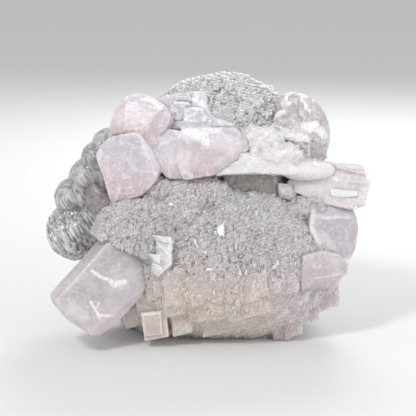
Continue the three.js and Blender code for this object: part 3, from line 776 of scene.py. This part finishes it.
SHOULDER_TRIMS = [((37.5, 4, 77), (0.75, -0.2, 0.65)), ((40.7, 4, 68), (1, -0.2, 0.15)),
                  ((34, -2.5, 75), (0.4, -0.75, 0.5))]
shoulder = polish("shoulder_faces", [
    ([(-4.4, 0), (-2.8, 2.6), (0.4, 4.6), (3.1, 2.7), (4.8, -1.3), (2.6, -3.7), (-0.4, -2.6), (-3.4, -2.4)],
     (28.4, 1, 77.9), (-0.1, -0.85, 0.5), 12, 0.3, [((1.5, 0, 0), (0.3, 0.1, 1))],
     [([(-3, 2.3), (0.3, 4.3), (3, 2.5)], 0.6, 0.6), ([(-2, 0), (2, 1.5)], 1.2, 0.4)]),
    ([(-3.5, 3.4), (0.3, 4), (3.7, 2.8), (6, -0.2), (4.6, -3.6), (-0.6, -4.1), (-5, -3), (-5.5, 0.7)],
     (26.9, -3, 72.7), (-0.1, -0.93, 0.3), 12, 0.4,
     [((1, 0.5, 0), (0.3, 0.25, 1)), ((0, -2, 0), (-0.2, -0.25, 1))],
     [([(-5, 1), (-2, 3.4)], 1.4, 0.7), ([(4, 2), (5.6, -0.4)], 1, 0.7)]),
    ([(-5.7, 3), (-3.4, 8.1), (1.7, 2.6), (4.8, -1.8), (5.1, -5.3), (0.7, -4.9), (-3.2, -1.8)],
     (35.9, -0.8, 73), (0.5, -0.75, 0.35), 12, 0.3, [((1, 0, 0), (0.35, 0.1, 1))],
     [([(-3.6, 7), (-2.4, 4), (-1.4, 2.6)], 0.9, 1), ([(0.8, 3.4), (4.4, -2.4)], 0.5, 0.6)]),
    ([(-7.5, 4.6), (0.2, 4.5), (4.3, 1.2), (5.7, -2.6), (3.9, -4.2), (-0.3, -2.9), (-6.2, -0.6)],
     (36.8, -2.4, 68.1), (0.45, -0.88, 0.15), 12, 0.3,
     [((2, 0, 0), (0.25, -0.1, 1)), ((-3, 2, 0), (-0.25, 0.2, 1))],
     [([(-4, 2.4), (-1, 2.8)], 2.6, 1), ([(0, 1.6), (2.6, -0.6)], 1.8, 1)]),
    ([(-5.4, -0.6), (-3.2, 3.1), (0.5, 4), (3.9, 2.5), (5.4, -0.6), (3.9, -3), (-1.3, -3.3), (-3.9, -2.1)],
     (27.6, -4.2, 63.1), (-0.1, -0.97, -0.15), 10, 0.2,
     [((-1, 1, 0), (-0.2, 0.3, 1)), ((2, -1, 0), (0.25, -0.15, 1))],
     [([(-2, 1), (2, -0.5)], 0.8, 0.5), ([(2, -1), (4, -2)], 1, 0.9)]),
    ([(-5.6, 3.6), (0.5, 3.9), (5, 1.8), (5.5, -2.9), (3.7, -3.7), (-3.3, -2.7), (-5.7, -0.2)],
     (36.2, -2.2, 62), (0.45, -0.88, -0.1), 10, 0.2,
     [((0, 0, 0), (0.2, 0, 1)), ((-3, 0, 0), (-0.3, 0.1, 1))],
     [([(-3, 3), (-2.6, -2)], 0.5, 0.7), ([(1, 3), (1.4, -3)], 0.5, 0.5)]),
    ([(-6.4, 1.7), (-4.6, 4.3), (0.2, 1.8), (6.6, 0), (8.1, -2.6), (2.9, -2.3), (-1.9, -2), (-4.9, -0.9)],
     (26.3, -4.2, 68.2), (-0.1, -0.95, 0.25), 10, 0.3, [],
     [([(-1, 0.3), (3, -0.6), (7.5, -1.6)], 2.2, 1), ([(-5, 3), (-5.6, 1)], 1, 0.6)]),
], cores=[boss((29, 9, 66), (12.8, 12.4, 14.6), 3, SHOULDER_TRIMS)], ripple=0.3, ripple_size=1.8)
settle(shoulder, satin_calcite("glassy pink calcite", (0.76, 0.74, 0.76), (0.55, 0.50, 0.52),
                               (0.48, 0.44, 0.45), frosting=0.7, scratched=0.6))

# ---------------------------------------------------------------- white crust
# Crumbly white calcite fills in where the shoulder, the brow and the right-hand block meet. It is
# smooth along its lip, which hangs over the slot.

LOBE_GRAIN = 0.42
LIP = [(-14.1, -3.1), (-8.5, -2.5), (1.3, -2.3), (13.1, -3.1), (14.8, -1.4), (11.2, 1.5), (5.6, 4.2),
       (-1.9, 3.9), (-8.5, 1.1)]
LIP_AT, LIP_FACING = (15.6, -16.3, 59.6), (0.05, -0.96, 0.22)
WHITE_CRUST = [((17, -6.5, 64), (9, 7.5, 7.5)), ((33, -9.5, 57.2), (10, 6.5, 3.6)),
               ((21.5, -8.6, 62), (10.5, 8, 4.6)), ((11.5, -10.6, 61.2), (6, 6, 3.6))]


def lobed(name, cores, relief, material, cuts=()):
    """Lobes grown into one closed smooth skin, raised by their own relief."""
    piece = fuse(name, cores[:1], cores[1:], cuts)
    bm = bmesh.new()
    bm.from_mesh(reskin(piece, "VOXEL", LOBE_GRAIN * MM))
    bm.normal_update()
    for vert in bm.verts:
        vert.co += vert.normal * relief((vert.co - SHIFT) / MM) * MM
    for face in bm.faces:
        face.smooth = True
    bm.to_mesh(piece.data)
    bm.free()
    settle(piece, material)


def crumbly(point):
    """Smooth along the lip, rougher above."""
    rough = min(1, max(0.2, (point.z - 59) / 4))
    lumps = noise.noise(point / 2.6) * 1.3 + noise.noise(point / 1.1) * 0.7
    return rough * (lumps + noise.cell(CRUMBS @ point) * 0.35)


lip = tablet(soften(LIP, 0.2), LIP_AT, LIP_FACING, 18, 0.7, [((0, 1.6, 0), (0, 0.3, 1))])
lobed("white_crust", [lip] + [boss(at, radii, 3) for at, radii in WHITE_CRUST], crumbly,
      stepped_calcite("white crust", (0.84, 0.80, 0.82), (0.82, 0.78, 0.80), (0.84, 0.78, 0.81),
                      BACK_EDGES, white=0.9), cuts=[SLOT])

# ---------------------------------------------------------------- grey crystals
# A row of clear grey lobes down the left side, each a bunch of thin plates that ends in ridges
# along the growth, streaked white low down. They are grown onto the back crystal.

GREY_EDGES = rhomb_edges((-0.5, -0.29, -0.82), (0.55, -0.15, -0.82))
GREY_LOBES = [((-33.2, 5, 63.5), (6.2, 8.5, 5.7)), ((-37.2, 5, 58.8), (5.8, 9.5, 5.4)),
              ((-41, 4.5, 52.8), (6.4, 10, 5.7)), ((-45.2, 4, 45.5), (7.3, 11, 6.8)),
              ((-44.6, 3, 34), (10.4, 13.8, 10)), ((-36, 6, 52), (6, 9, 12)), ((-38, 4, 40), (7, 11, 10)),
              ((-45.4, -5.6, 47.2), (1.9, 1.6, 3.1))]


def clear_calcite(name, dark, grey, white):
    """Clear grey calcite: soft clouds inside, and low down bright streaks along the growth."""
    s = Shader(name)
    streak = s.noise(0.8, 3, 0.6, s.lattice(GREY_EDGES, 7))
    low = s.math("MULTIPLY_ADD", s.math("SUBTRACT", s.noise(3.5, 3), 0.5), 34 * MM)
    s.put(low.node.inputs[2], s.height())
    low = s.ramp(low, 52 * MM, 38 * MM, (0.4, 1))
    tone = s.mix(s.ramp(s.noise(3, 3, 0.55, s.lattice(GREY_EDGES, 2)), 0.36, 0.62), dark, grey)
    tone = s.mix(s.math("MULTIPLY", s.ramp(streak, 0.46, 0.36), low), tone, tuple(c * 0.6 for c in dark))
    tone = s.mix(s.math("MULTIPLY", s.ramp(streak, 0.51, 0.58), low), tone, white)
    s.put(s.out["Base Color"], tone)
    s.put(s.out["Roughness"], s.ramp(s.noise(2, 2), 0.4, 0.6, (0.06, 0.22)))
    s.put(s.out["Normal"], s.bump(streak, 0.5, 0.8))
    s.glass(0.12, 0.4, 1.5 * MM)
    return s.material


GREY_CELLS = cells(GREY_EDGES, (12, 1.2, 1.4))


def flutes(point):
    """Ridges along the growth, strongest low down, and broad facets above."""
    low = min(1, max(0.15, (48 - point.z) / 8))
    ridge = noise.noise(GREY_CELLS @ point) * 0.5 + noise.cell(GREY_CELLS @ point * 0.7) * 0.35
    return noise.noise(point / 4) * 0.5 + ridge * low


lobed("grey_crystals", [boss(at, radii) for at, radii in GREY_LOBES], flutes,
      clear_calcite("clear grey calcite", (0.33, 0.31, 0.31), (0.62, 0.60, 0.60), (0.95, 0.94, 0.95)))

# ---------------------------------------------------------------- grey face
# Between the grey lobes and the upper crystals lies one smooth brown-grey face, the end of a
# crystal that is grown in behind them.

GREY_FACE = [(-4, 4), (-1.2, 5.6), (2.3, 3.4), (5.9, -1.3), (2.5, -3.4), (1.5, -5.3), (-2.6, -3.6),
             (-4.4, 0.6)]
grey_face = polish("grey_face", [
    (GREY_FACE, (-38, -6.5, 46.5), (-0.25, -0.95, 0.1), 7, 0.4,
     [((2, 0, 0), (0.3, 0.1, 1)), ((-2, 1, 0), (-0.3, 0.2, 1))],
     [([(-3.6, 2.6), (-1, 4.2), (2.4, 1.8)], 0.5, 0.35)]),
], ripple=0.3, ripple_size=2.2, rounds=3)
settle(grey_face, satin_calcite("brown-grey calcite", (0.46, 0.42, 0.41), (0.37, 0.33, 0.32),
                                (0.30, 0.27, 0.26), frosting=0.05))

# ---------------------------------------------------------------- cleavage glints
# Small cleavage faces that broke open on the stepped crystals and on the right-hand block. They
# are flat and lie almost flush with the growth around them; their bright white is a painted glint.

s = Shader("painted glint cleavage")
# Near-white colour: a painted glint, the light that these flat faces throw back.
s.put(s.out["Base Color"], (0.97, 0.96, 0.97, 1))
s.put(s.out["Roughness"], 0.35)
s.glass(0.1, 0.6, 2 * MM)
# Each glint on the front crystal is a place and its outline, the biggest one first.
GLINTS = [((3.5, -28.3, 42.6), [(0.3, 2.8), (0.9, 0.7), (1.1, -1.4), (1.5, -2.5), (0.5, -2.1), (-0.2, -2.5),
                                (-1.1, -1.1), (-1.4, 0), (-0.9, 1.2), (0, 1.8)]),
          ((-3.6, -28.3, 36.1), [(-0.9, 1.3), (-0.2, 1.1), (0.7, -1.3), (0.2, -1.3), (-0.5, 0)]),
          ((8.7, -28, 36.2), [(-0.3, 1.3), (0.3, 0.8), (0.5, -0.9), (-0.1, -1.1)]),
          ((21.8, -26, 29), [(-1.4, -1.3), (0.2, -1.4), (1, 0.6), (1, 1.7), (0.6, 1.6)]),
          ((0.4, -28.6, 28.4), [(-1.3, -0.6), (1.2, -0.2), (1.2, 0.3), (-0.8, 0.5)]),
          ((-12, -22, 48), [(-0.7, -0.5), (0.7, -0.5), (0.6, 0.4), (-0.5, 0.6)])]
# The two on the right-hand block are an outline and how far it stands out.
BLOCK_GLINTS = [([(-1.6, -1), (3, -1.7), (7.6, -2), (7.4, -3.5), (2.4, -4.4), (-1.4, -3.6)], 0.5),
                ([(0.7, 7.2), (9.2, 6.4), (9.6, 4.9), (5, 5.2)], 0.95)]
for point, outward in spread(FRONT_AT, (43.3, 23.3, 26.8), 6.5):
    if on_front(point, outward) and point.z > 18 and outward.y < -0.2:
        size = dice.triangular(0.3, 1.1, 0.4)
        corners = sorted(dice.uniform(0, 2 * math.pi) for _ in range(5))
        GLINTS.append((point, [(math.cos(a) * size * 0.6, math.sin(a) * size * dice.uniform(1, 1.8))
                               for a in corners]))
bpy.context.view_layer.update()
chips = []
for point, outline in GLINTS:
    _, foot, outward, _ = front.closest_point_on_mesh(Vector(point) * MM + SHIFT)
    facing = (outward + FORWARD).normalized()
    chips.append(tablet(outline, (foot - SHIFT) / MM + facing * 0.35, facing, 1.4, 0.06))
for outline, proud in BLOCK_GLINTS:
    chips.append(tablet(outline, Vector(JUT_AT) + FORWARD * proud, JUT_FACING, 3, 0.1))
glints = fuse("cleavage_glints", chips[:1], chips[1:])
settle(glints, s.material)

# ---------------------------------------------------------------- floor, light and camera
# A pale table, a large soft light from the upper left and weaker ones from the right and back.

floor_mesh = bmesh.new()
bmesh.ops.create_grid(floor_mesh, x_segments=1, y_segments=1, size=6)
table = bpy.data.meshes.new("table")
floor_mesh.to_mesh(table)
floor_mesh.free()
floor = bpy.data.objects.new("table", table)
bpy.context.scene.collection.objects.link(floor)
paper = bpy.data.materials.new("pale table")
paper.use_nodes = True
paper.node_tree.nodes["Principled BSDF"].inputs["Base Color"].default_value = (0.8, 0.8, 0.8, 1)
paper.node_tree.nodes["Principled BSDF"].inputs["Roughness"].default_value = 0.8
table.materials.append(paper)

world = bpy.data.worlds.new("studio")
bpy.context.scene.world = world
world.use_nodes = True
world.node_tree.nodes["Background"].inputs["Color"].default_value = (0.94, 0.95, 0.97, 1)
world.node_tree.nodes["Background"].inputs["Strength"].default_value = 0.64


def softbox(name, at, size, power):
    light = bpy.data.lights.new(name, "AREA")
    light.shape = "DISK"
    light.size = size
    light.energy = power
    lamp = bpy.data.objects.new(name, light)
    bpy.context.scene.collection.objects.link(lamp)
    lamp.location = at
    lamp.rotation_euler = (Vector((0, 0, 0.04)) - Vector(at)).to_track_quat("-Z", "Y").to_euler()


softbox("key", (-0.3, -0.45, 0.6), 0.14, 2.25)
softbox("fill", (0.5, -0.4, 0.25), 0.4, 0.9)
softbox("rim", (0.1, 0.45, 0.4), 0.3, 1.5)

LENS = 120
SENSOR = 36
SCALE = 0.34 * MM  # of one pixel at the cluster
distance = SCALE * 416 * LENS / SENSOR
aim = Vector((0, 0, 42.3 * MM)) + SHIFT
tilt = math.radians(12)
camera_data = bpy.data.cameras.new("camera")
camera_data.lens = LENS
camera_data.sensor_width = SENSOR
camera = bpy.data.objects.new("camera", camera_data)
bpy.context.scene.collection.objects.link(camera)
camera.location = aim + Vector((0, -math.cos(tilt), math.sin(tilt))) * distance
camera.rotation_euler = (math.radians(90) - tilt, 0, 0)
bpy.context.scene.camera = camera
bpy.context.scene.view_settings.view_transform = "Standard"
